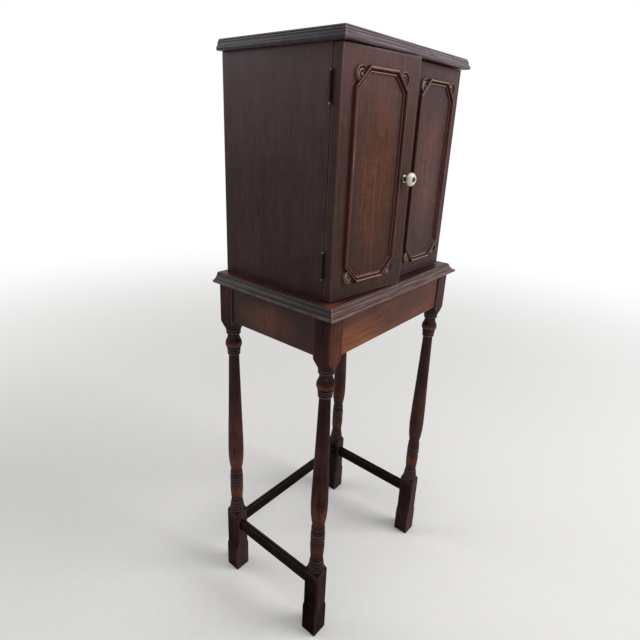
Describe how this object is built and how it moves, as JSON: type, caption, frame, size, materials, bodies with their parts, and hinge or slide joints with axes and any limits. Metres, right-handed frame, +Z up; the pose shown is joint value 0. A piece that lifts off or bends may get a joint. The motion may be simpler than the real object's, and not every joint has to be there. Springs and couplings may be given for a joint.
{
  "type": "collectors cabinet",
  "caption": "Small two-door collectors cabinet with a moulded cornice, on a tall stand with turned legs and low stretchers; the left door has a round knob and stands ajar.",
  "frame": {"origin": "on the floor, under the middle of the whole object's bounding box", "axes": "+Z up, the doors face -Y, +X is to the right for someone who looks at the doors"},
  "size_m": [0.472, 0.328, 1.235],
  "materials": {
    "door_mahogany": "satin varnished mahogany, red brown",
    "moulding_mahogany": "satin varnished bead moulding",
    "case_mahogany": "satin varnished mahogany, darkened",
    "stand_mahogany": "satin varnished mahogany, warmer",
    "leg_mahogany": "glossy dark stain, worn on the high places",
    "inner_wood": "bare wood, lightly stained",
    "white_glaze": "glossy white glaze",
    "polished_brass": "polished brass",
    "dark_brass": "old dark brass",
    "steel": "plain steel",
    "catch_plastic": "brown plastic"
  },
  "bodies": {
    "stand_and_cabinet": {"apron_back": "stand_mahogany", "apron_front": "stand_mahogany", "apron_left": "stand_mahogany", "apron_right": "stand_mahogany", "back_panel": "inner_wood", "back_screws": "steel", "cabinet_bottom": "inner_wood", "catch_blocks": "catch_plastic", "cornice": "case_mahogany", "cornice_screws": "steel", "glue_blocks": "inner_wood", "hinge_left_carcass_leaves": "dark_brass", "hinge_left_pins": "dark_brass", "hinge_right_carcass_leaves": "dark_brass", "hinge_right_pins": "dark_brass", "holding_screws": "steel", "inner_top": "inner_wood", "leg_back_left": "leg_mahogany", "leg_back_right": "leg_mahogany", "leg_front_left": "leg_mahogany", "leg_front_right": "leg_mahogany", "shelf_cleats": "inner_wood", "shelf_lower": "inner_wood", "shelf_upper": "inner_wood", "side_left": "case_mahogany", "side_right": "case_mahogany", "stand_top": "stand_mahogany", "stretcher_back": "leg_mahogany", "stretcher_left": "leg_mahogany", "stretcher_right": "leg_mahogany"},
    "left_door": {"door_left": "door_mahogany", "door_left_hinge_leaves": "dark_brass", "door_left_moulding": "moulding_mahogany", "door_left_ornaments": "moulding_mahogany", "door_left_strike": "steel", "knob": "white_glaze", "knob_bolt": "polished_brass", "knob_nut": "steel", "knob_ring": "polished_brass", "knob_rose": "polished_brass", "knob_washer": "steel"},
    "right_door": {"door_right": "door_mahogany", "door_right_hinge_leaves": "dark_brass", "door_right_moulding": "moulding_mahogany", "door_right_ornaments": "moulding_mahogany", "door_right_strike": "steel"}
  },
  "joints": [
    {"name": "left_door_hinge", "type": "hinge", "parent": "stand_and_cabinet", "child": "left_door", "pos_m": [-0.20295, -0.10052, 1.008], "axis": [0, 0, -1], "range_deg": [-6, 174]},
    {"name": "right_door_hinge", "type": "hinge", "parent": "stand_and_cabinet", "child": "right_door", "pos_m": [0.20295, -0.10052, 1.008], "axis": [0, 0, 1], "range_deg": [0, 180]}
  ]
}
